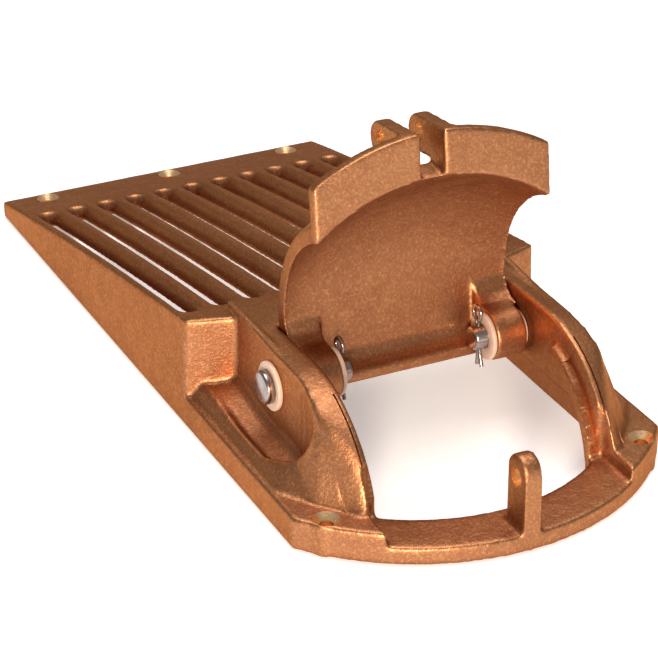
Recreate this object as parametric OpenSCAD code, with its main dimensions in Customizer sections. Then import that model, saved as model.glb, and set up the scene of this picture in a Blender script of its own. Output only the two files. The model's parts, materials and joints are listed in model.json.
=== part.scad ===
// Hull intake strainer: a slotted bronze scoop that screws over a hull intake, with a hinged access door.
// Frame: +Z away from the hull, mounting face on z = 0, thin end toward +Y, door end -Y, symmetric in X.
// Distances named l_... are measured from the thin end toward the door end.

/* [Overall] */
// Width of the mounting face
body_w = 152.4; // [120:0.1:200]
// Overall length
body_l = 340; // [260:1:420]
// Door opening angle at which the parts are drawn, 0 is shut
open_angle = 97; // [0:1:97]

/* [Wedge] */
// Thickness of the thin end
thin_t = 7; // [4:0.5:12]
// Rise of the slotted face per mm at the thin end
ramp_rise = 0.22; // [0.15:0.01:0.3]
// How quickly the slotted face flattens
ramp_bend = 0.00016; // [0:0.00001:0.0004]
// Thickness of the slotted plate
plate_t = 6.6; // [4:0.2:10]
// Thickness of the side walls at the mounting face
side_t = 5.4; // [4:0.2:8]
// Where the side walls stop and the hinge pockets begin
l_face = 205; // [180:1:230]

/* [Slots] */
// Number of slots
slot_n = 11; // [5:2:15]
// Distance from slot to slot
slot_pitch = 13.5; // [10:0.1:18]
// Width of a slot
slot_w = 6.4; // [4:0.1:9]
// Start of the slots
l_slot0 = 33; // [20:1:60]
// End of the slots
l_slot1 = 195; // [120:1:200]

/* [Flange and ring] */
// Thickness of the flange around the door opening
flange_t = 12.8; // [8:0.2:16]
// Thickness of the ring under the door lip
ring_t = 7.2; // [5:0.2:10]
// Outer radius of the ring
ring_ro = 95; // [85:0.5:105]
// Inner radius of the ring
ring_ri = 75; // [60:0.5:85]
// Half width of the recess that the door lip drops into
recess_hw = 50; // [40:0.5:60]

/* [Hinge] */
// Hinge axis, from the thin end
l_hinge = 245; // [230:1:260]
// Hinge axis height
hinge_z = 33.5; // [25:0.5:45]
// Inner face of a cheek, from the centre line
cheek_in = 47.2; // [40:0.1:60]
// Outer face of a cheek, from the centre line
cheek_out = 57.2; // [50:0.1:70]
// Hinge pin radius
pin_r = 4.76; // [3:0.01:6]
// Radial running clearance of the pins in the cheeks
pin_gap = 0.06; // [0.01:0.01:0.1]
// Outer radius of the outer and inner nylon washers
washer_r = 9.5; // [7:0.1:12]
// Nylon washer thickness
washer_t = 1.6; // [1:0.1:3]
// Outer radius of the washers between the knuckles and the cheeks
mid_washer_r = 7.6; // [6:0.1:9]

/* [Door] */
// Half width of the door
door_hw = 46.7; // [40:0.1:55]
// Thickness of the door shell
door_t = 5.5; // [4:0.1:8]
// Radius of the quarter round at the door end, outside of the cheeks
round_r = 51.5; // [40:0.5:60]
// Where the quarter round starts, from the thin end
l_round = 263; // [255:1:275]
// Radius of the inner edge of the door lip about the ring centre
lip_ri = 77; // [70:0.5:85]

/* [Lock lug] */
// Thickness of the lug and half of the gap left for it
lug_t = 7; // [5:0.5:12]
// Lug and ear hole radius
lug_bore_r = 3.5; // [2:0.1:5]
// Height of the lug and ear holes
lug_hole_z = 28; // [20:0.5:35]

/* [Screw holes] */
// Screw hole radius
screw_r = 2.6; // [2:0.1:4]
// Countersink radius at the surface
csk_r = 5; // [4:0.1:8]
// Distance from the centre hole to the side holes at the thin end
thin_hole_x = 58; // [40:0.5:68]
// Distance of the thin-end holes from the thin end
l_thin_hole = 9; // [6:0.5:15]
// Holes by the ring, from the centre line
near_hole_x = 65; // [55:0.5:70]
// Holes by the ring, from the thin end
l_near_hole = 307; // [300:0.5:312]

/* [Quality] */
// Facets on round features
round_fn = 96; // [48:8:160]
// Strips across the door's curved end
door_strips = 24; // [12:2:40]

/* [Hidden] */
hw = body_w / 2;
round_z = -2;
top_z = round_z + round_r;
knuckle_r = 10;
knuckle_in = 32.5;
knuckle_out = 45.3;
plate_top = top_z - 0.5;
plate_in = plate_top - door_t;
door_ro = plate_top - round_z;
door_ri = door_ro - door_t;
l_door_edge = l_hinge - 8.5;
lip_z = ring_t + 0.25;
l_top_edge = 227.5;
notch_hw = 4.75;
ear_t = 6;
lug_l0 = 326.5;
lug_r = 6.75;
pin_head_x = cheek_out + washer_t + 0.2;
pin_end_x = 26;
cotter_x = knuckle_in - washer_t - 1.7;
bronze = [0.72, 0.43, 0.26];
steel = [0.76, 0.77, 0.79];
nylon = [0.90, 0.84, 0.80];

// Frame helpers: distance from the thin end to Y, and the height of the slotted face
function yy(l) = body_l / 2 - l;
function ramp(l) = thin_t + ramp_rise * l - ramp_bend * l * l;
ramp_end = ramp(l_face);
function crest(l) = l < l_face ? ramp(l)
  : ramp_end + (top_z - ramp_end) * (1 - pow(1 - (l - l_face) / (l_round - l_face), 2));
// Centre of the door's quarter round at a distance x from the centre line
function arc_l(x) =
  l_hinge + sqrt(lip_ri * lip_ri - x * x) - sqrt(door_ri * door_ri - pow(lip_z - round_z, 2));

// Extrudes a side view, drawn as [distance from the thin end, height], across the width
module across(w) rotate([90, 0, 90]) linear_extrude(w, center = true) children();
// Extrudes a front view, drawn as [x, z], from l0 to l1
module along(l0, l1) translate([0, yy(l0), 0]) rotate([90, 0, 0])
  linear_extrude(l1 - l0) children();
module side_poly(pts) polygon([for (p = pts) [yy(p[0]), p[1]]]);
module both() for (s = [0, 1]) mirror([s, 0, 0]) children();
module x_rod(x0, x1, r) translate([x0, 0, 0]) rotate([0, 90, 0])
  cylinder(h = x1 - x0, r = r, $fn = round_fn);

// ---- strainer body ----
module plan_outline() {
  intersection() {
    translate([0, yy(l_hinge)]) circle(r = ring_ro, $fn = 180);
    translate([-hw, yy(body_l) - 1]) square([body_w, body_l - l_hinge + 1]);
  }
  translate([-hw, yy(l_hinge + 1)]) square([body_w, l_hinge + 1 - l_face + 10]);
}

module wedge() {
  intersection() {
    across(body_w + 2) side_poly(concat([[0, 0]], [for (l = [0 : 15 : l_face]) [l, ramp(l)]],
      [for (i = [1 : 6]) let(l = l_face + i * (l_top_edge - l_face) / 6) [l, crest(l)]], [[l_top_edge, 0]]));
    along(-1, body_l) polygon([[-hw, 0], [hw, 0], [hw, flange_t], [hw - 1.8, 60], [1.8 - hw, 60],
      [-hw, flange_t]]);
    translate([0, 0, -1]) linear_extrude(70) polygon([[-hw, yy(-1)], [hw, yy(-1)], [hw, yy(l_face)],
      [cheek_out - 1.5, yy(l_face + 8.5)], [cheek_out - 1.5, yy(l_top_edge)],
      [1.5 - cheek_out, yy(l_top_edge)],
      [1.5 - cheek_out, yy(l_face + 8.5)], [-hw, yy(l_face)]]);
  }
}

// One hinge cheek: flat on both sides, its top runs level and then round down to the ring
module cheek() {
  translate([(cheek_in + cheek_out) / 2, 0, 0]) {
    across(cheek_out - cheek_in) side_poly(concat([[l_face + 4, 0]],
      [for (i = [0 : 6]) let(l = l_face + 4 + i * (l_round - l_face - 4) / 6) [l, crest(l)]],
      [[l_round, 0]]));
    intersection() {
      translate([0, yy(l_round), round_z])
        x_rod(-(cheek_out - cheek_in) / 2, (cheek_out - cheek_in) / 2, round_r);
      translate([-20, yy(l_round + 60), 0]) cube([40, 60.5, 70]);
    }
  }
}

// Narrow curved ledge inside a cheek that the door shell rests on
module ledge() {
  intersection() {
    translate([0, yy(l_round), round_z]) difference() {
      x_rod(44, cheek_in + 0.5, 44);
      x_rod(43, cheek_in + 1, 38.5);
    }
    translate([40, yy(l_round + 44), 5]) cube([10, 34, 50]);
  }
}

// Flared foot that closes the pocket behind the ring screw, and the low rim along the pocket's outer side
module flare() {
  hull() {
    translate([cheek_out - 2, yy(303), 10]) cube([5, 14, 20]);
    translate([cheek_out - 2, yy(308.5), 6]) cube([7, 26, flange_t - 6]);
    translate([66, yy(288), 6]) cylinder(h = 8.5, r = 5, $fn = 32);
    translate([68, yy(272), 6]) cylinder(h = 7.5, r = 3, $fn = 32);
  }
  hull() {
    translate([hw - 4, yy(l_face - 2), 6]) cylinder(h = 15.5, r = 3, $fn = 32);
    translate([hw - 6.5, yy(235), 6]) cylinder(h = 9.6, r = 3, $fn = 32);
    translate([68, yy(275), 6]) cylinder(h = 7.6, r = 3, $fn = 32);
  }
}

// Sloping floor of the pocket, from the cheek down to the rim
module pocket_floor() {
  along(l_face - 4, 300) polygon([[cheek_in + 2, 5], [hw - 3, 5], [hw - 4, flange_t + 0.4], [63, 15],
    [59.6, 18], [cheek_out, 23], [cheek_in + 2, 23]]);
}

module lug() {
  translate([0, yy(lug_l0 + lug_r), 0]) {
    translate([-lug_t / 2, -lug_r, 3]) cube([lug_t, 2 * lug_r, 27]);
    translate([0, 0, 30]) x_rod(-lug_t / 2, lug_t / 2, lug_r);
  }
}

module cavity() {
  across(body_w - 2 * side_t) side_poly(concat([[20, -1]],
    [for (l = [20 : 15 : 185]) [l, max(3, ramp(l) - plate_t)]], [[198, ramp(198) - plate_t], [198, -1]]));
  across(2 * cheek_in) side_poly(concat([[197, -1], [197, ramp(197) - plate_t]],
    [for (i = [0 : 5]) let(l = l_face + i * (l_top_edge + 0.2 - l_face) / 5) [l, crest(l) - plate_t]],
    [[l_top_edge, 80], [l_round, 80], [l_round, -1]]));
  translate([-cheek_in, yy(330), ring_t + 20]) cube([2 * cheek_in, 330 - l_round + 1, 60]);
  intersection() {
    translate([0, yy(l_hinge), -1]) cylinder(h = 80, r = ring_ri, $fn = 180);
    translate([-cheek_in + 3.2, yy(330), -2]) cube([2 * cheek_in - 6.4, 330 - l_round + 1, 90]);
  }
  intersection() {
    translate([0, yy(l_hinge), -1]) cylinder(h = 80, r = ring_ri - 3, $fn = 180);
    along(196, 330) polygon([[side_t - hw, -1], [hw - side_t, -1], [hw - side_t, 4.5], [61, 8.5],
      [cheek_in, 24], [-cheek_in, 24], [-61, 8.5], [side_t - hw, 4.5]]);
  }
}

module slots() {
  for (i = [0 : slot_n - 1]) translate([(i - (slot_n - 1) / 2) * slot_pitch, 0, -1]) {
    translate([-slot_w / 2, yy(l_slot1 - slot_w / 2), 0]) cube([slot_w, l_slot1 - l_slot0 - slot_w, 80]);
    translate([0, yy(l_slot0 + slot_w / 2), 0]) cylinder(h = 80, r = slot_w / 2, $fn = 48);
    translate([0, yy(l_slot1 - slot_w / 2), 0]) cylinder(h = 80, r = slot_w / 2, $fn = 48);
  }
}

module screw_hole(top) {
  translate([0, 0, -1]) cylinder(h = top + 5, r = screw_r, $fn = 64);
  translate([0, 0, top - (csk_r - screw_r)])
    cylinder(h = csk_r - screw_r, r1 = screw_r, r2 = csk_r, $fn = 64);
  translate([0, 0, top - 0.01]) cylinder(h = 20, r = csk_r, $fn = 64);
}

module strainer_body() color(bronze) difference() {
  union() {
    difference() {
      union() {
        wedge();
        linear_extrude(flange_t) plan_outline();
        both() { cheek(); flare(); pocket_floor(); }
      }
      cavity();
    }
    both() ledge();
    lug();
  }
  slots();
  difference() {
    translate([-recess_hw, yy(body_l + 1), ring_t]) cube([2 * recess_hw, body_l + 1 - 304, 60]);
    translate([-lug_t / 2, yy(body_l + 2), 0]) cube([lug_t, body_l + 2 - lug_l0, 70]);
  }
  both() {
    translate([0, yy(l_hinge), hinge_z]) x_rod(cheek_in - 1, cheek_out + 1, pin_r + pin_gap);
    translate([thin_hole_x, yy(l_thin_hole), 0]) screw_hole(ramp(l_thin_hole));
    translate([near_hole_x, yy(l_near_hole), 0]) screw_hole(flange_t);
  }
  translate([0, yy(l_thin_hole), 0]) screw_hole(ramp(l_thin_hole));
  translate([0, yy(lug_l0 + lug_r), lug_hole_z]) x_rod(-lug_t, lug_t, lug_bore_r);
}
strainer_body();

// ---- access door, drawn shut and then turned open about the hinge axis ----
module turned_open() translate([0, yy(l_hinge), hinge_z]) rotate([-open_angle, 0, 0])
  translate([0, -yy(l_hinge), -hinge_z]) children();

// Points of an arc about (c, round_z), in the side view
function arc_pts(c, r, a0, a1, n) = [for (i = [0 : n]) let(a = a0 + (a1 - a0) * i / n)
  [c + r * sin(a), round_z + r * cos(a)]];
// One cross-section of the shell at a distance x from the centre line: outside from the hinge edge to the
// lip, then back along the inside
function shell_loop(x) = let(c = arc_l(x), z_end = lip_z + 1.6, z_out = flange_t - 0.4)
  concat([[l_door_edge, plate_top]], arc_pts(c, door_ro, 0, acos((z_out - round_z) / door_ro), 12),
    [[c + sqrt(pow(door_ro, 2) - pow(z_out - round_z, 2)), z_end]],
    arc_pts(c, door_ri, acos((z_end - round_z) / door_ri), 0, 12), [[l_door_edge, plate_in]]);

module door_shell() {
  loops = [for (i = [0 : door_strips]) let(x = door_hw * (2 * i / door_strips - 1))
    [for (p = shell_loop(x)) [x, yy(p[0]), p[1]]]];
  m = len(loops[0]);
  pts = [for (lp = loops) for (p = lp) p];
  polyhedron(pts, concat(
    [[for (j = [0 : m - 1]) j]],
    [[for (j = [m - 1 : -1 : 0]) door_strips * m + j]],
    [for (i = [0 : door_strips - 1]) for (j = [0 : m - 1]) let(k = (j + 1) % m, a = i * m)
      [a + j, a + m + j, a + m + k]],
    [for (i = [0 : door_strips - 1]) for (j = [0 : m - 1]) let(k = (j + 1) % m, a = i * m)
      [a + j, a + m + k, a + k]]));
}

// Flat lip that drops into the recess of the ring
module lip() {
  translate([0, 0, lip_z]) linear_extrude(flange_t - lip_z) intersection() {
    translate([0, yy(l_hinge)]) difference() {
      circle(r = ring_ro - 0.5, $fn = 180);
      circle(r = lip_ri, $fn = 180);
    }
    translate([-door_hw - 1.2, yy(body_l)]) square([2 * door_hw + 2.4, 60]);
  }
}

// One knuckle under the plate, with a fillet toward the plate
module knuckle() {
  translate([0, yy(l_hinge), hinge_z]) x_rod(knuckle_in, knuckle_out, knuckle_r);
  translate([(knuckle_in + knuckle_out) / 2, 0, 0]) across(knuckle_out - knuckle_in) side_poly([
    [l_door_edge, plate_in + 1], [l_door_edge, hinge_z + 5], [l_hinge - 8, hinge_z + 4],
    [l_hinge + 9.6, hinge_z - 2.5], [l_hinge + 11, hinge_z + 4], [l_hinge + 14, hinge_z + 7.6],
    [l_hinge + 19, plate_in - 0.2], [l_hinge + 21, plate_in + 1]]);
}

module ear() {
  translate([notch_hw, yy(339.4), lip_z + 2]) cube([ear_t, 14.4, 30 - lip_z - 2]);
  translate([0, yy(339.4 - 7.2), 30]) x_rod(notch_hw, notch_hw + ear_t, 7.2);
  translate([notch_hw, yy(326), flange_t - 1]) cube([ear_t, 4, 8]);
}

// Downturned rib along the hinge edge, cut away where the inner washers turn
module hinge_rib() difference() {
  across(2 * door_hw - 4) side_poly([[l_door_edge, plate_in + 1], [l_door_edge, 37.4],
    [l_door_edge + 0.8, 36.6], [l_door_edge + 4.2, 36.6], [l_door_edge + 5.2, 38.6],
    [l_door_edge + 7.4, 41.4], [l_door_edge + 11, plate_in - 0.2], [l_door_edge + 13, plate_in + 1]]);
  both() translate([knuckle_in - washer_t - 0.6, yy(l_hinge + 15), 20])
    cube([washer_t + 0.6, 30, hinge_z + washer_r + 0.25 - 20]);
}

module access_door() color(bronze) turned_open() difference() {
  union() {
    door_shell();
    lip();
    hinge_rib();
    both() { knuckle(); ear(); }
  }
  difference() {
    translate([-notch_hw, yy(body_l + 5), -1]) cube([2 * notch_hw, 45, 60]);
    translate([0, yy(l_hinge), hinge_z]) x_rod(-20, 20, 80.8);
  }
  both() translate([0, yy(l_hinge), hinge_z]) x_rod(knuckle_in - 2, knuckle_out + 2, pin_r + 0.02);
  translate([0, yy(lug_l0 + lug_r), lug_hole_z])
    x_rod(-notch_hw - ear_t - 1, notch_hw + ear_t + 1, lug_bore_r);
}
access_door();

// ---- hinge hardware, placed on the hinge axis ----
module on_hinge(side) translate([0, yy(l_hinge), hinge_z]) rotate([-open_angle, 0, 0])
  mirror([side, 0, 0]) children();

module hinge_pin() color(steel) difference() {
  rotate([0, 90, 0]) rotate_extrude($fn = round_fn) polygon([[0, pin_end_x], [pin_r - 1, pin_end_x],
    [pin_r, pin_end_x + 1], [pin_r, pin_head_x], [6.5, pin_head_x], [6.5, pin_head_x + 2.4],
    [5.9, pin_head_x + 3.2], [0, pin_head_x + 3.2]]);
  translate([cotter_x, 0, 0]) rotate([90, 0, 0]) cylinder(h = 20, r = 1.65, center = true, $fn = 48);
}

// Split pin: legs together inside the hinge pin, an eye at one end and the tips spread at the other
module cotter_pin() color(steel) translate([cotter_x, 0, 0]) rotate([90, 0, 0]) {
  translate([0, 0, -7]) cylinder(h = 13.6, r = 1.5, $fn = 48);
  translate([0, 0, 9.4]) rotate([0, 90, 0])
    rotate_extrude($fn = 48) translate([2.9, 0]) circle(r = 0.9, $fn = 24);
  for (s = [-1, 1]) translate([0, 0.62 * s, -6.4]) rotate([180 - 16 * s, 0, 0])
    cylinder(h = 6.6, r = 0.8, $fn = 32);
}

// A washer whose inner face is at a distance x from the centre line
module washer(x, r = washer_r) color(nylon) translate([x, 0, 0]) rotate([0, 90, 0]) difference() {
  cylinder(h = washer_t, r = r, $fn = round_fn);
  translate([0, 0, -1]) cylinder(h = washer_t + 2, r = pin_r + 0.2, $fn = round_fn);
}

on_hinge(1) hinge_pin();  // left_hinge_pin
on_hinge(0) hinge_pin();  // right_hinge_pin
on_hinge(1) cotter_pin();  // left_cotter_pin
on_hinge(0) cotter_pin();  // right_cotter_pin
on_hinge(1) washer(cheek_out);  // left_outer_washer
on_hinge(0) washer(cheek_out);  // right_outer_washer
on_hinge(1) washer(knuckle_out, mid_washer_r);  // left_middle_washer
on_hinge(0) washer(knuckle_out, mid_washer_r);  // right_middle_washer
on_hinge(1) washer(knuckle_in - washer_t);  // left_inner_washer
on_hinge(0) washer(knuckle_in - washer_t);  // right_inner_washer
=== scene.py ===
import json
import math

import bmesh
import bpy
import numpy as np
from mathutils import Matrix, Vector, noise


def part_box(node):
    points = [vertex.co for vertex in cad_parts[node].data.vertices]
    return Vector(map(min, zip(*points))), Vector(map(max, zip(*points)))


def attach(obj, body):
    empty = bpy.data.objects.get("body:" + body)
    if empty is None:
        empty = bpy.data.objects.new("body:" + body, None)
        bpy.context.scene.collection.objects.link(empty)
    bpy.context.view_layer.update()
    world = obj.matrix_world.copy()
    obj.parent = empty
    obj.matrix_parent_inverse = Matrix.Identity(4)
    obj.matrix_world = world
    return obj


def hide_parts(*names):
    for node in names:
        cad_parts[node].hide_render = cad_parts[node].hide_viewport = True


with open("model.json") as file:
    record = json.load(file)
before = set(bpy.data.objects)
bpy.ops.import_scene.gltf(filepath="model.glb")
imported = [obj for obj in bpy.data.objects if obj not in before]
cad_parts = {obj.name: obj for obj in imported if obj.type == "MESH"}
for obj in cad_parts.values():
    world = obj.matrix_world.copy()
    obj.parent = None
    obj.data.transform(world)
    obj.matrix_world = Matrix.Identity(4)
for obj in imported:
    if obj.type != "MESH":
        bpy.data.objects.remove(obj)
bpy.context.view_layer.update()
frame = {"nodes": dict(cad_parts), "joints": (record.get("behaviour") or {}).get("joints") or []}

MM = 0.001
HINGE = Vector(frame["joints"][0]["pos_m"])
OPEN_ANGLE = math.radians(frame["joints"][0]["range_deg"][1])
THIN_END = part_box("strainer_body")[1].y


# ---- mesh helpers ----
def link(name, mesh):
    obj = bpy.data.objects.new(name, mesh)
    bpy.context.scene.collection.objects.link(obj)
    return obj


def mesh_from(bm, name):
    mesh = bpy.data.meshes.new(name)
    bm.to_mesh(mesh)
    bm.free()
    return mesh


def add_lathe(bm, place, profile, steps=64):
    """Adds a closed solid of revolution about the local Z of place. Profile is (radius, height) in mm."""
    rings = []
    for r, h in profile:
        if r == 0:
            rings.append([bm.verts.new(place @ Vector((0, 0, h * MM)))])
        else:
            rings.append([bm.verts.new(place @ Vector((r * MM * math.cos(a), r * MM * math.sin(a), h * MM)))
                          for a in (2 * math.pi * i / steps for i in range(steps))])
    pairs = list(zip(rings, rings[1:]))
    if profile[0][0] > 0 and profile[-1][0] > 0:
        pairs.append((rings[-1], rings[0]))
    for lower, upper in pairs:
        for i in range(steps):
            j = (i + 1) % steps
            if len(lower) == 1:
                bm.faces.new([lower[0], upper[j], upper[i]])
            elif len(upper) == 1:
                bm.faces.new([lower[i], lower[j], upper[0]])
            else:
                bm.faces.new([lower[i], lower[j], upper[j], upper[i]])


def add_rod(bm, place, r, length, steps=64):
    """Adds a solid cylinder that starts at place and runs along its local Z. Sizes are in mm."""
    add_lathe(bm, place, [(0, 0), (r, 0), (r, length), (0, length)], steps)


def add_prism(bm, loop_a, loop_b):
    """Adds a closed solid between two loops of points with the same number of corners."""
    a = [bm.verts.new(p) for p in loop_a]
    b = [bm.verts.new(p) for p in loop_b]
    n = len(a)
    bm.faces.new(list(reversed(a)))
    bm.faces.new(b)
    for i in range(n):
        j = (i + 1) % n
        bm.faces.new([a[i], a[j], b[j], b[i]])


def along_z(x, y):
    return Matrix.Translation((x, y, 0))


def along_x(x, y, z):
    return Matrix.Translation((x, y, z)) @ Matrix.Rotation(math.pi / 2, 4, "Y")


# In the door's own frame the door is shut; this carries a point of it to the rest pose
OPEN = Matrix.Translation(HINGE) @ Matrix.Rotation(-OPEN_ANGLE, 4, "X") @ Matrix.Translation(-HINGE)


def at(l):
    """Y of a distance in mm from the thin end."""
    return THIN_END - l * MM


def evaluated(obj):
    depsgraph = bpy.context.evaluated_depsgraph_get()
    return bpy.data.meshes.new_from_object(obj.evaluated_get(depsgraph))


def vertex_array(mesh):
    co = np.empty(len(mesh.vertices) * 3, np.float32)
    mesh.vertices.foreach_get("co", co)
    return co.reshape(-1, 3).astype(float)


def relax(mesh, weight, rounds):
    """Laplacian smoothing. Weight, one or one per vertex, is how far a vertex moves toward its neighbours."""
    co = vertex_array(mesh)
    edges = np.empty(len(mesh.edges) * 2, np.int64)
    mesh.edges.foreach_get("vertices", edges)
    a, b = edges.reshape(-1, 2).T
    n = len(co)
    degree = np.maximum(np.bincount(a, minlength=n) + np.bincount(b, minlength=n), 1)[:, None]
    for _ in range(rounds):
        total = np.stack([np.bincount(a, co[b, k], n) + np.bincount(b, co[a, k], n) for k in range(3)], 1)
        co += weight * (total / degree - co)
    mesh.vertices.foreach_set("co", co.astype(np.float32).ravel())
    mesh.update()


def smoothstep(v, lo, hi):
    t = np.clip((v - lo) / (hi - lo), 0, 1)
    return t * t * (3 - 2 * t)


def wobble(mesh, amount, size, flat_z=None):
    """Uneven surface of a sand casting: moves vertices along their normals by smooth noise. A base below
    flat_z stays flat."""
    co = vertex_array(mesh)
    normals = np.empty(len(co) * 3, np.float32)
    mesh.vertices.foreach_get("normal", normals)
    fine = 0.35 * size
    shift = np.array([noise.noise(Vector(p) / size) + 0.5 * noise.noise(Vector(p) / fine) for p in co])
    if flat_z is not None:
        shift *= smoothstep(co[:, 2], flat_z, flat_z + 1.5 * MM)
    co += normals.reshape(-1, 3) * (amount * shift)[:, None]
    mesh.vertices.foreach_set("co", co.astype(np.float32).ravel())
    mesh.update()


def modified(obj, kind, **settings):
    """Adds one modifier and applies it."""
    mod = obj.modifiers.new(kind, kind)
    for key, value in settings.items():
        setattr(mod, key, value)
    obj.data = evaluated(obj)
    obj.modifiers.clear()


def carve(obj, tools, materials=()):
    """Cuts away the solids that tools adds. With materials, the last one goes on the cut faces."""
    bm = bmesh.new()
    tools(bm)
    bmesh.ops.recalc_face_normals(bm, faces=bm.faces)
    cutter = link("tool", mesh_from(bm, "tool"))
    if materials:
        obj.data.materials.clear()
        obj.data.materials.append(materials[0])
        cutter.data.materials.append(materials[-1])
    modified(obj, "BOOLEAN", operation="DIFFERENCE", object=cutter, solver="MANIFOLD",
             material_mode="TRANSFER")
    bpy.data.objects.remove(cutter)


def add_solids(obj, solids):
    """Adds the closed solids that solids makes, as separate shells until the next remesh."""
    bm = bmesh.new()
    bm.from_mesh(obj.data)
    solids(bm)
    bmesh.ops.triangulate(bm, faces=bm.faces)
    bmesh.ops.recalc_face_normals(bm, faces=bm.faces)
    bm.to_mesh(obj.data)
    bm.free()


def casting(name, node, solids, voxel, rounds, keep, grain, cuts=None, shape=None, late_cuts=None, flat_z=None):
    """A cast piece on a CAD node's shape: remeshed and relaxed, so that every edge is soft.

    Solids fills what is machined later, cuts clears room for it first, shape moves vertices before they
    are relaxed, and late_cuts makes the crisp cuts. Keep is the share of the faces that is kept.
    """
    bm = bmesh.new()
    bm.from_mesh(frame["nodes"][node].data)
    bmesh.ops.remove_doubles(bm, verts=bm.verts, dist=1e-6)
    bmesh.ops.triangulate(bm, faces=bm.faces)
    bmesh.ops.recalc_face_normals(bm, faces=bm.faces)
    obj = link(name, mesh_from(bm, name))
    if cuts:
        modified(obj, "REMESH", mode="VOXEL", voxel_size=voxel * 0.8, adaptivity=0.0)
        carve(obj, cuts)
    add_solids(obj, solids)
    modified(obj, "REMESH", mode="VOXEL", voxel_size=voxel, adaptivity=0.0)
    if shape:
        shape(obj.data)
    relax(obj.data, 0.5, rounds)
    wobble(obj.data, grain, 9 * MM, flat_z)
    modified(obj, "DECIMATE", ratio=keep)
    if late_cuts:
        carve(obj, late_cuts)
    return obj


def soft_shade(obj, angle=40):
    obj.data.shade_smooth()
    obj.data.set_sharp_from_angle(angle=math.radians(angle))


# ---- materials ----
class Nodes:
    def __init__(self, name):
        self.material = bpy.data.materials.new(name)
        self.material.use_nodes = True
        self.tree = self.material.node_tree
        self.shader = self.tree.nodes["Principled BSDF"]
        self.coord = self.add("ShaderNodeTexCoord").outputs["Object"]

    def add(self, kind, **props):
        node = self.tree.nodes.new(kind)
        for key, value in props.items():
            setattr(node, key, value)
        return node

    def wire(self, out, socket):
        self.tree.links.new(out, socket)

    def noise(self, scale, detail=2.0, rough=0.5, coord=None):
        node = self.add("ShaderNodeTexNoise")
        node.inputs["Scale"].default_value = scale
        node.inputs["Detail"].default_value = detail
        node.inputs["Roughness"].default_value = rough
        self.wire(coord or self.coord, node.inputs["Vector"])
        return node.outputs["Fac"]

    def ramp(self, value, *stops):
        node = self.add("ShaderNodeValToRGB")
        ramp = node.color_ramp
        while len(ramp.elements) < len(stops):
            ramp.elements.new(0.5)
        for element, (place, colour) in zip(ramp.elements, stops):
            element.position = place
            element.color = (*colour, 1.0)
        self.wire(value, node.inputs["Fac"])
        return node.outputs["Color"]

    def span(self, value, lo, hi, out_lo, out_hi):
        node = self.add("ShaderNodeMapRange")
        for key, number in (("From Min", lo), ("From Max", hi), ("To Min", out_lo), ("To Max", out_hi)):
            node.inputs[key].default_value = number
        self.wire(value, node.inputs["Value"])
        return node.outputs["Result"]

    def mix(self, factor, a, b):
        node = self.add("ShaderNodeMix", data_type="RGBA")
        sockets = [s for s in node.inputs if s.enabled]
        for socket, value in zip(sockets, (factor, a, b)):
            if isinstance(value, (float, int)):
                socket.default_value = value
            elif isinstance(value, tuple):
                socket.default_value = (*value, 1.0)
            else:
                self.wire(value, socket)
        return [s for s in node.outputs if s.enabled][0]

    def math(self, operation, a, b):
        node = self.add("ShaderNodeMath", operation=operation)
        for socket, value in zip(node.inputs, (a, b)):
            if isinstance(value, (float, int)):
                socket.default_value = value
            else:
                self.wire(value, socket)
        return node.outputs["Value"]

    def bump(self, height, strength, distance, normal=None):
        node = self.add("ShaderNodeBump")
        node.inputs["Strength"].default_value = strength
        node.inputs["Distance"].default_value = distance
        self.wire(height, node.inputs["Height"])
        if normal is not None:
            self.wire(normal, node.inputs["Normal"])
        return node.outputs["Normal"]

    def stretched(self, x, y, z):
        node = self.add("ShaderNodeMapping")
        node.inputs["Scale"].default_value = (x, y, z)
        self.wire(self.coord, node.inputs["Vector"])
        return node.outputs["Vector"]


def cast_bronze():
    n = Nodes("cast_bronze")
    broad = n.noise(16, 3, 0.55)
    mottle = n.noise(130, 4, 0.6)
    grain = n.noise(900, 3, 0.65)
    sand = n.noise(2300, 2, 0.6)
    tone = n.ramp(broad, (0.32, (0.345, 0.143, 0.068)), (0.55, (0.39, 0.166, 0.077)),
                  (0.75, (0.44, 0.196, 0.090)))
    tone = n.mix(n.span(mottle, 0.35, 0.7, 0.0, 0.45), tone, (0.27, 0.098, 0.046))
    tone = n.mix(n.span(grain, 0.48, 0.72, 0.0, 0.55), tone, (0.68, 0.34, 0.145))
    edges = n.add("ShaderNodeNewGeometry").outputs["Pointiness"]
    # Painted highlight: convex edges are lightened toward a pale gold by their pointiness.
    tone = n.mix(n.span(edges, 0.52, 0.60, 0.0, 0.28), tone, (0.78, 0.42, 0.19))
    # Darker, redder brown in concave creases by their pointiness: partly the oxide of the hollows, partly
    # painted shade.
    tone = n.mix(n.span(edges, 0.48, 0.40, 0.0, 0.50), tone, (0.24, 0.080, 0.036))
    n.wire(tone, n.shader.inputs["Base Color"])
    n.shader.inputs["Metallic"].default_value = 1.0
    n.shader.inputs["Specular Tint"].default_value = (0.66, 0.45, 0.36, 1.0)
    rough = n.math("ADD", n.span(mottle, 0.3, 0.7, 0.38, 0.50), n.span(edges, 0.52, 0.60, 0.0, -0.10))
    n.wire(rough, n.shader.inputs["Roughness"])
    shape = n.bump(mottle, 0.35, 0.0007)
    shape = n.bump(grain, 0.55, 0.00032, shape)
    shape = n.bump(sand, 0.40, 0.00012, shape)
    n.wire(shape, n.shader.inputs["Normal"])
    return n.material


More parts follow.
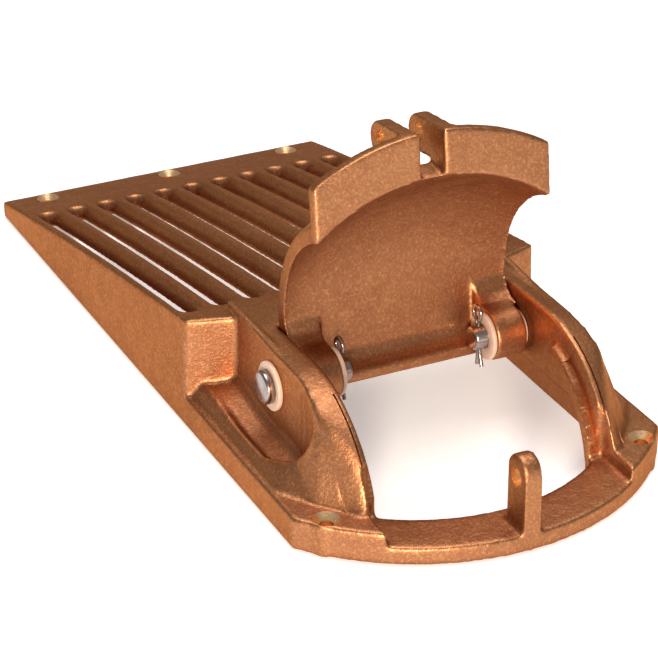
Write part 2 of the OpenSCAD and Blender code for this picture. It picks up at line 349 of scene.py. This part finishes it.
def machined_bronze(name, turned_about):
    n = Nodes(name)
    scale = {"Z": (60, 60, 5200), "X": (5200, 60, 60)}[turned_about]
    marks = n.noise(1.0, 2, 0.5, n.stretched(*scale))
    stain = n.noise(420, 3, 0.6)
    tone = n.mix(n.span(stain, 0.4, 0.7, 0.0, 0.6), (1.0, 0.66, 0.36), (0.84, 0.46, 0.22))
    n.wire(tone, n.shader.inputs["Base Color"])
    n.shader.inputs["Metallic"].default_value = 1.0
    n.wire(n.span(stain, 0.35, 0.7, 0.24, 0.40), n.shader.inputs["Roughness"])
    n.wire(n.bump(marks, 0.5, 0.00006), n.shader.inputs["Normal"])
    return n.material


def stainless():
    n = Nodes("stainless")
    marks = n.noise(1.0, 2, 0.5, n.stretched(4200, 80, 80))
    smudge = n.noise(260, 3, 0.6)
    # The steel's dark, warm brown tone is a painted reflection of the bronze around it.
    tone = n.mix(n.span(smudge, 0.35, 0.7, 0.0, 0.7), (0.40, 0.34, 0.32), (0.26, 0.20, 0.18))
    n.wire(tone, n.shader.inputs["Base Color"])
    n.shader.inputs["Metallic"].default_value = 1.0
    n.wire(n.span(smudge, 0.3, 0.7, 0.16, 0.32), n.shader.inputs["Roughness"])
    n.wire(n.bump(marks, 0.35, 0.00004), n.shader.inputs["Normal"])
    return n.material


def nylon():
    n = Nodes("nylon")
    haze = n.noise(180, 3, 0.6)
    fine = n.noise(1500, 2, 0.6)
    tone = n.mix(n.span(haze, 0.35, 0.7, 0.0, 0.7), (0.66, 0.46, 0.36), (0.54, 0.36, 0.27))
    n.wire(tone, n.shader.inputs["Base Color"])
    n.wire(n.span(fine, 0.3, 0.7, 0.36, 0.50), n.shader.inputs["Roughness"])
    n.shader.inputs["Subsurface Weight"].default_value = 0.35
    n.shader.inputs["Subsurface Radius"].default_value = (0.003, 0.002, 0.0016)
    n.shader.inputs["Subsurface Scale"].default_value = 1.0
    n.wire(n.bump(fine, 0.2, 0.00008), n.shader.inputs["Normal"])
    return n.material


BRONZE = cast_bronze()
BORED_Z = machined_bronze("machined_countersink", "Z")
BORED_X = machined_bronze("machined_bore", "X")
STEEL = stainless()
NYLON = nylon()

# ---- the strainer's casting, in mm; l is a distance from the thin end ----
SCREW_R, CSK_R = 2.6, 5.0
FLANGE_T = 12.8
THIN_SCREWS = [(x, 9.0, 8.97) for x in (-58, 0, 58)]  # x, l and the height of the face they sit in
RING_SCREWS = [(x, 307.0, FLANGE_T) for x in (-65, 65)]
SCREWS = THIN_SCREWS + RING_SCREWS
LUG_L, LUG_Z, LUG_BORE_R = 333.25, 28.0, 3.5
PIN_R = 4.76


def body_plugs(bm):
    """Fills the holes, so that their edges stay crisp when they are machined again after the relaxing."""
    for x, l, top in SCREWS:
        add_rod(bm, along_z(x * MM, at(l)), CSK_R + 0.8, top - 0.02)
    add_rod(bm, along_x(-3.48 * MM, at(LUG_L), LUG_Z * MM), 4.2, 6.96)
    for x in (-57.1, 47.3):
        add_rod(bm, along_x(x * MM, HINGE.y, HINGE.z), 5.6, 9.8)


def body_tools(bm):
    for x, l, top in SCREWS:
        above = top + 20
        add_lathe(bm, along_z(x * MM, at(l)), [(0, -2), (SCREW_R, -2), (SCREW_R, top - (CSK_R - SCREW_R)),
                                               (CSK_R, top), (CSK_R, above), (0, above)], 48)
    add_rod(bm, along_x(-8 * MM, at(LUG_L), LUG_Z * MM), LUG_BORE_R, 16, 48)
    for x in (-60, 45):
        add_rod(bm, along_x(x * MM, HINGE.y, HINGE.z), PIN_R + 0.1, 15)


# The pockets outside the cheeks. A foot curve runs along the flange's rim and then round the ring's centre;
# the skirt rises from it to a rim, and inside that is the pocket, which ends in the cheek's round band.
RING_L, RING_R = 245.0, 95.0
ROUND_L, ROUND_Z, ROUND_R = 263.0, -2.0, 51.5
CHEEK_X = 57.2
FOOT_X, FOOT_R = 73.6, 82.5
RIM_X, RIM_R = 71.0, 73.6
SKIRT_RISE, SKIRT_REACH = 7.8, 9.0
SKIRT_SLOPE = 2.6
BAND_TILT = 0.20


def skirt_limit(x, rho):
    """Height of the steep face that ends the cheeks and the skirt at the foot curve."""
    foot = FOOT_R + 0.5 + 2.5 * (1 - smoothstep(x, 48, 62))
    return FLANGE_T - 0.1 + SKIRT_SLOPE * np.maximum(foot - rho, 0)


def pocket_height(x, l):
    """Height of the skirt, the rim and the pocket's floor and wall over the flange's side."""
    rho = np.where(l > RING_L, np.hypot(x, l - RING_L), x)
    crest = ROUND_Z + np.sqrt(np.maximum(ROUND_R ** 2 - np.maximum(l - ROUND_L, 0) ** 2, 1.0))
    crest = np.maximum(crest, FLANGE_T - 0.1)
    up = np.clip(np.minimum(FOOT_X - x, FOOT_R - rho) / SKIRT_REACH, 0, 1)
    low = SKIRT_RISE * np.sin(up * math.pi / 2) + 2.2 * (1 - smoothstep(l, 206, 232)) * up
    high = 36 * np.clip((67 - x) / 9.8, 0, 1) ** 2 * smoothstep(l, 258, 282)
    outer = FLANGE_T - 0.1 + low + high
    outer = np.minimum(np.minimum(outer, np.where(l > RING_L, skirt_limit(x, rho), 99)), crest)
    wall = CHEEK_X + 2.4 * smoothstep(l, 266, 292)
    fillet = 4.5
    floor = 13.4 + 4.2 * (1 - smoothstep(l, 210, 250)) + 0.16 * (71 - x)
    floor = floor + fillet - np.sqrt(np.maximum(fillet ** 2 - np.maximum(wall + fillet - x, 0) ** 2, 0.0))
    floor = np.where(x < wall, crest, floor)
    inside_rim = np.minimum(RIM_X - x, RIM_R - rho)
    inner = floor + (outer - floor) * (1 - smoothstep(inside_rim, 0.0, 4.0))
    return np.where(inside_rim > 0, inner, outer)


def arc_bar(bm, side, x, r, angles, steps=40):
    """A bar bent round the axis of the cheeks' round band, between two x and two radii. Angles are in degrees
    from straight up, toward the ring."""
    sections = []
    corners = ((x[0], r[0]), (x[1], r[0]), (x[1], r[1]), (x[0], r[1]))
    for i in range(steps + 1):
        a = math.radians(angles[0] + (angles[1] - angles[0]) * i / steps)
        sections.append([Vector((side * px * MM, at(ROUND_L + pr * math.sin(a)),
                                 (ROUND_Z + pr * math.cos(a)) * MM)) for px, pr in corners])
    rings = [[bm.verts.new(p) for p in section] for section in sections]
    bm.faces.new(rings[0])
    bm.faces.new(list(reversed(rings[-1])))
    for a, b in zip(rings, rings[1:]):
        for i in range(4):
            j = (i + 1) % 4
            bm.faces.new([a[j], a[i], b[i], b[j]])


def pocket_cuts(bm):
    """Clears the room outside the cheeks, where the pockets and skirts are built."""
    plan = [(CHEEK_X + 0.05, 213.0), (79.0, 203.9), (79.0, 330.0), (CHEEK_X + 0.05, 330.0)]
    for side in (-1, 1):
        add_prism(bm, [Vector((side * x * MM, at(l), (FLANGE_T + 0.05) * MM)) for x, l in plan],
                  [Vector((side * x * MM, at(l), 60 * MM)) for x, l in plan])


def tilt_bands(mesh):
    """Lowers the cheeks' tops toward their outer sides, as casting draft does, and ends them at the foot."""
    co = vertex_array(mesh)
    x, l, z = np.abs(co[:, 0]) / MM, (THIN_END - co[:, 1]) / MM, co[:, 2] / MM
    down, out = z - ROUND_Z, np.maximum(l - ROUND_L, 0)
    r = np.maximum(np.hypot(down, out), 1e-3)
    amount = BAND_TILT * np.clip(x - 49.5, 0, 10) * smoothstep(r, 38, 50)
    amount = amount * smoothstep(l, 216, 250) * smoothstep(z, 13.5, 20)
    co[:, 2] -= amount * down / r * MM
    co[:, 1] += amount * out / r * MM
    limit = np.maximum(skirt_limit(x, np.hypot(x, l - RING_L)), FLANGE_T) * MM
    co[:, 2] = np.maximum(np.where((x > 50.2) & (l > 280), np.minimum(co[:, 2], limit), co[:, 2]), 0)
    mesh.vertices.foreach_set("co", co.astype(np.float32).ravel())
    skirt = smoothstep(x, 50.5, 52.5) * smoothstep(l, 274, 286) * smoothstep(z, 13.4, 15.4)
    relax(mesh, 0.5 * skirt[:, None], 14)


SLOT_N, SLOT_PITCH, SLOT_R, SLOT_L = 11, 13.5, 3.2, (36.2, 191.8)
PLATE_T = 6.6


def taper_slots(mesh):
    """Opens the slots toward their tops and closes them below, and rounds the bars between them."""
    co = vertex_array(mesh)
    x, l, z = co[:, 0] / MM, (THIN_END - co[:, 1]) / MM, co[:, 2] / MM
    outermost = SLOT_N // 2
    across = x - SLOT_PITCH * np.clip(np.round(x / SLOT_PITCH), -outermost, outermost)
    along = l - np.clip(l, *SLOT_L)
    reach = np.maximum(np.hypot(across, along), 1e-3)
    depth = 7 + 0.22 * l - 0.00016 * l ** 2 - z
    near = 1 - smoothstep(reach, SLOT_R + 0.2, SLOT_PITCH / 2)
    near = near * (1 - smoothstep(depth, PLATE_T + 0.5, PLATE_T + 3.5))
    push = near * (1.1 - 2.9 * np.clip(depth / PLATE_T, 0, 1))
    co[:, 0] += push * across / reach * MM
    co[:, 1] -= push * along / reach * MM
    mesh.vertices.foreach_set("co", co.astype(np.float32).ravel())
    mesh.update()
    relax(mesh, 0.5 * near[:, None], 8)


def body_shape(mesh):
    tilt_bands(mesh)
    taper_slots(mesh)


def band_cuts(bm):
    """The fine groove along each band's inner edge, and the room for the shut door above the ledges."""
    for side in (-1, 1):
        arc_bar(bm, side, (49.3, 50.0), (50.3, 54.0), (20, 71))
        arc_bar(bm, side, (38.0, 47.4), (43.5, 54.0), (26, 71))


def pocket_skirt(bm):
    """The surface of pocket_height as a closed solid, from inside the cheek to the flange's rim."""
    columns = np.linspace(54.5, 75.6, 44)
    rows = np.linspace(0, 1, 126)
    ends = RING_L + np.sqrt((RING_R - 2.0) ** 2 - columns ** 2)
    for side in (-1, 1):
        top, bottom = [], []
        for x, end in zip(columns, ends):
            l = 204.0 + rows * (end - 204.0)
            z = pocket_height(np.full_like(l, x), l)
            top.append([bm.verts.new((side * x * MM, at(a), b * MM)) for a, b in zip(l, z)])
            bottom.append([bm.verts.new((side * x * MM, at(a), 6.5 * MM)) for a in l])
        last, end = len(columns) - 1, len(rows) - 1
        for i in range(last):
            for j in range(end):
                bm.faces.new([top[i][j], top[i + 1][j], top[i + 1][j + 1], top[i][j + 1]])
                bm.faces.new([bottom[i][j + 1], bottom[i + 1][j + 1], bottom[i + 1][j], bottom[i][j]])
            for j in (0, end):
                bm.faces.new([top[i][j], top[i + 1][j], bottom[i + 1][j], bottom[i][j]])
        for j in range(end):
            for i in (0, last):
                bm.faces.new([top[i][j], top[i][j + 1], bottom[i][j + 1], bottom[i][j]])


def body_solids(bm):
    body_plugs(bm)
    pocket_skirt(bm)


body = casting("strainer_casting", "strainer_body", body_solids, voxel=0.85 * MM, rounds=4, keep=0.36,
               grain=0.08 * MM, cuts=pocket_cuts, shape=body_shape, late_cuts=band_cuts, flat_z=0.3 * MM)
carve(body, body_tools, [BRONZE, BORED_Z])
soft_shade(body)
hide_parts("strainer_body")
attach(body, "strainer")


# ---- the door's casting ----
def door_plugs(bm):
    for x in (-10.7, 4.8):
        add_rod(bm, OPEN @ along_x(x * MM, at(LUG_L), LUG_Z * MM), 4.4, 5.9)
    for x in (-45.2, 32.6):
        add_rod(bm, along_x(x * MM, HINGE.y, HINGE.z), 5.6, 12.6)


def door_tools(bm):
    add_rod(bm, OPEN @ along_x(-14 * MM, at(LUG_L), LUG_Z * MM), LUG_BORE_R, 28, 48)
    for x in (-47, 31):
        add_rod(bm, along_x(x * MM, HINGE.y, HINGE.z), PIN_R + 0.05, 16)


door = casting("door_casting", "access_door", door_plugs, voxel=0.75 * MM, rounds=4, keep=0.45, grain=0.06 * MM)
carve(door, door_tools, [BRONZE, BORED_X])
soft_shade(door)
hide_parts("access_door")
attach(door, "door")

# ---- hinge hardware, in mm from the centre plane ----
WIRE_R = 0.78
SPLIT_PIN_X = 29.2
# One leg from its tip to the top of the eye: distance along the leg from the hinge axis, then across
SPLIT_PIN_LEG = [(-11.6, 1.9), (-9.0, 1.3), (-6.2, 0.72), (0.0, 0.66), (5.8, 0.70), (8.2, 2.2), (10.4, 2.9),
                 (12.3, 1.5), (12.7, 0.0)]
PIN_PROFILE = [(0, 26.0), (3.6, 26.0), (4.3, 26.25), (PIN_R, 27.0), (PIN_R, 59.0), (6.3, 59.0), (6.5, 59.2),
               (6.5, 61.1), (6.35, 61.6), (5.9, 62.0), (5.3, 62.2), (0, 62.2)]
WASHER_R, MIDDLE_WASHER_R, WASHER_T = 9.5, 7.6, 1.6
# Which washer, its near face, its radius and what it moves with
WASHERS = [("outer", 57.2, WASHER_R, "strainer"), ("middle", 45.3, MIDDLE_WASHER_R, "door"),
           ("inner", 30.9, WASHER_R, "door")]


def wire_curve(name, points, radius):
    """A round wire through the points, as a mesh."""
    curve = bpy.data.curves.new(name, "CURVE")
    curve.dimensions, curve.bevel_depth, curve.bevel_resolution, curve.use_fill_caps = "3D", radius, 3, True
    spline = curve.splines.new("BEZIER")
    spline.bezier_points.add(len(points) - 1)
    for knot, p in zip(spline.bezier_points, points):
        knot.co = p
        knot.handle_left_type = knot.handle_right_type = "AUTO"
    obj = bpy.data.objects.new(name, curve)
    bpy.context.scene.collection.objects.link(obj)
    mesh = evaluated(obj)
    bpy.data.objects.remove(obj)
    return link(name, mesh)


def split_pin(name, node, side):
    """One wire bent into an eye, with both legs through the hinge pin and their tips spread."""
    along = OPEN.to_3x3() @ Vector((0, -1, 0))
    across = OPEN.to_3x3() @ Vector((0, 0, 1))
    centre = Vector((side * SPLIT_PIN_X * MM, HINGE.y, HINGE.z))
    shape = SPLIT_PIN_LEG + [(a, -c) for a, c in reversed(SPLIT_PIN_LEG[:-1])]
    pin = wire_curve(name, [centre + (along * a + across * c) * MM for a, c in shape], WIRE_R * MM)
    pin.data.materials.append(STEEL)
    soft_shade(pin)
    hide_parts(node)
    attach(pin, "door")


def turned(name, node, side, profile, look, rides_on):
    """A turned part on the hinge axis. Profile is (radius, distance from the centre plane)."""
    bm = bmesh.new()
    add_lathe(bm, OPEN @ along_x(0, HINGE.y, HINGE.z), profile, 72)
    bmesh.ops.scale(bm, vec=(side, 1, 1), verts=bm.verts)
    bmesh.ops.recalc_face_normals(bm, faces=bm.faces)
    obj = link(name, mesh_from(bm, name))
    obj.data.materials.append(look)
    soft_shade(obj, 50)
    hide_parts(node)
    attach(obj, rides_on)


def washer_profile(x, r):
    """A ring with rounded edges, from x to x plus the washer's thickness."""
    hole, t, e = PIN_R + 0.2, WASHER_T, 0.32
    return [(hole, x + 0.15), (hole + 0.15, x), (r - e, x), (r - 0.3 * e, x + 0.3 * e), (r, x + e),
            (r, x + t - e), (r - 0.3 * e, x + t - 0.3 * e), (r - e, x + t), (hole + 0.15, x + t),
            (hole, x + t - 0.15)]


for word, side in (("left", -1), ("right", 1)):
    split_pin(f"{word}_split_pin", f"{word}_cotter_pin", side)
    turned(f"{word}_clevis_pin", f"{word}_hinge_pin", side, PIN_PROFILE, STEEL, "door")
    for place, x, r, rides_on in WASHERS:
        turned(f"{word}_{place}_nylon_washer", f"{word}_{place}_washer", side, washer_profile(x, r),
               NYLON, rides_on)

# ---- floor, light and camera, in metres ----
FLOOR_Z = -0.0004
CAMERA_PLACE = (-0.4170, -0.8666, 0.5244)
CAMERA_AIM = (0.3836, 0.7929, -0.4735)
CAMERA_LENS = 147.9

floor_look = Nodes("floor")
pale = floor_look.mix(floor_look.noise(3), (0.90, 0.90, 0.90), (0.87, 0.87, 0.87))
floor_look.wire(pale, floor_look.shader.inputs["Base Color"])
floor_look.shader.inputs["Roughness"].default_value = 0.9
floor_look.shader.inputs["Emission Color"].default_value = (1.0, 0.99, 0.98, 1.0)
floor_look.shader.inputs["Emission Strength"].default_value = 0.4
bm = bmesh.new()
bmesh.ops.create_circle(bm, cap_ends=True, radius=14, segments=96)
floor = link("floor", mesh_from(bm, "floor"))
floor.location.z = FLOOR_Z
floor.data.materials.append(floor_look.material)

world = bpy.data.worlds.new("studio")
bpy.context.scene.world = world
world.use_nodes = True
world.node_tree.nodes["Background"].inputs["Color"].default_value = (1.0, 0.97, 0.95, 1.0)
world.node_tree.nodes["Background"].inputs["Strength"].default_value = 0.31
bpy.context.scene.view_settings.view_transform = "Standard"


def area_light(name, place, target, size, power, colour):
    data = bpy.data.lights.new(name, "AREA")
    data.shape, data.size, data.energy, data.color = "DISK", size, power, colour
    obj = bpy.data.objects.new(name, data)
    obj.location = place
    obj.rotation_euler = (Vector(target) - Vector(place)).to_track_quat("-Z", "Y").to_euler()
    bpy.context.scene.collection.objects.link(obj)


area_light("overhead", (0.1, 0.2, 1.7), (0, 0, 0), 1.3, 25, (1.0, 0.99, 0.97))
area_light("key", (-0.62, -1.15, 0.30), (0, -0.05, 0.02), 0.26, 20, (1.0, 0.90, 0.74))

camera = bpy.data.objects.new("camera", bpy.data.cameras.new("camera"))
bpy.context.scene.collection.objects.link(camera)
bpy.context.scene.camera = camera
camera.data.sensor_width = 36
camera.data.lens = CAMERA_LENS
camera.location = CAMERA_PLACE
camera.rotation_euler = Vector(CAMERA_AIM).to_track_quat("-Z", "Y").to_euler()
